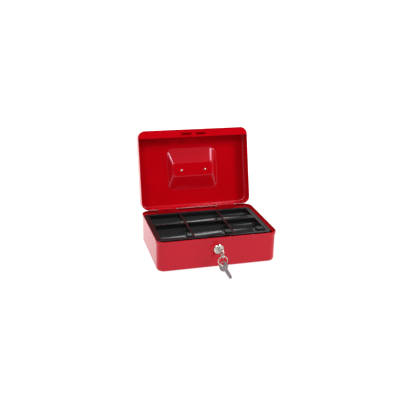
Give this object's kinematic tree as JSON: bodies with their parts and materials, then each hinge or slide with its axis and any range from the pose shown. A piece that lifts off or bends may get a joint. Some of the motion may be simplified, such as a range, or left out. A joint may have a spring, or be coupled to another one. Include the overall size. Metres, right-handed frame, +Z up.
{
  "type": "cash box",
  "caption": "Portable steel cash box with hinged lid, folding handle, cylinder lock with key, slide latch and lift-out coin tray with cells.",
  "frame": {"origin": "centre of the flat underside of the body", "axes": "+X to the right seen from the lock, +Y to the back (hinge side), +Z up"},
  "size_m": [0.25, 0.2961, 0.2339],
  "materials": {
    "red_paint": "glossy red stove enamel",
    "black_plastic": "moulded black plastic, fine grain, half gloss",
    "nickel": "nickel plate, polished",
    "zinc": "bright zinc plate",
    "dark_steel": "phosphated steel, dark, lightly oiled",
    "brass": "stamped brass",
    "key_steel": "nickel-plated key, lightly worn"
  },
  "bodies": {
    "body": {"body_shell": "red_paint", "tray_bracket_left": "red_paint", "tray_bracket_right": "red_paint", "hinge_body_leaf_left": "red_paint", "hinge_body_leaf_right": "red_paint", "hinge_pin_left": "zinc", "hinge_pin_right": "zinc", "lock_housing": "nickel", "lock_washer": "zinc", "lock_nut": "zinc", "latch_studs": "zinc"},
    "lid": {"lid_shell": "red_paint", "strike_plate": "red_paint", "hinge_lid_leaf_left": "red_paint", "hinge_lid_leaf_right": "red_paint", "handle_post_left": "nickel", "handle_post_right": "nickel", "handle_rivets": "nickel"},
    "handle": {"handle_bail": "nickel"},
    "tray": {"coin_tray": "black_plastic"},
    "plug": {"lock_plug": "nickel", "plug_wafers": "brass", "wafer_springs": "zinc", "lock_cam": "zinc", "cam_screw": "zinc"},
    "latch": {"latch_slide": "dark_steel"},
    "key": {"key": "key_steel"},
    "ring": {"key_ring": "nickel"},
    "spare": {"spare_key": "key_steel"}
  },
  "joints": [
    {"name": "lid_hinge", "type": "hinge", "parent": "body", "child": "lid", "pos_m": [0, 0.08655, 0.0655], "axis": [1, 0, 0], "range_deg": [0, 104.5]},
    {"name": "handle_fold", "type": "hinge", "parent": "lid", "child": "handle", "pos_m": [0, 0.12271, 0.14141], "axis": [1, 0, 0], "range_deg": [-2.5, 75.5]},
    {"name": "tray_lift", "type": "slide", "parent": "body", "child": "tray", "axis": [0, 0, -1], "range_m": [-0.07, 0]},
    {"name": "plug_turn", "type": "hinge", "parent": "body", "child": "plug", "pos_m": [0, -0.089, 0.0395], "axis": [0, 1, 0], "range_deg": [0, 90]},
    {"name": "latch_travel", "type": "slide", "parent": "body", "child": "latch", "axis": [1, 0, 0], "range_m": [0, 0.008]},
    {"name": "key_pull", "type": "slide", "parent": "plug", "child": "key", "axis": [0, -1, 0], "range_m": [0, 0.03]},
    {"name": "ring_swing", "type": "hinge", "parent": "key", "child": "ring", "pos_m": [0, -0.1152, 0.0368], "axis": [-1, 0, 0], "range_deg": [0, 70]},
    {"name": "spare_key_swing", "type": "hinge", "parent": "ring", "child": "spare", "pos_m": [0, -0.1152, 0.0182], "axis": [-1, 0, 0], "range_deg": [0, 45]}
  ],
  "couplings": [
    {"joint": "plug_turn", "follows": "latch_travel", "rad_per_m": 196.34}
  ]
}
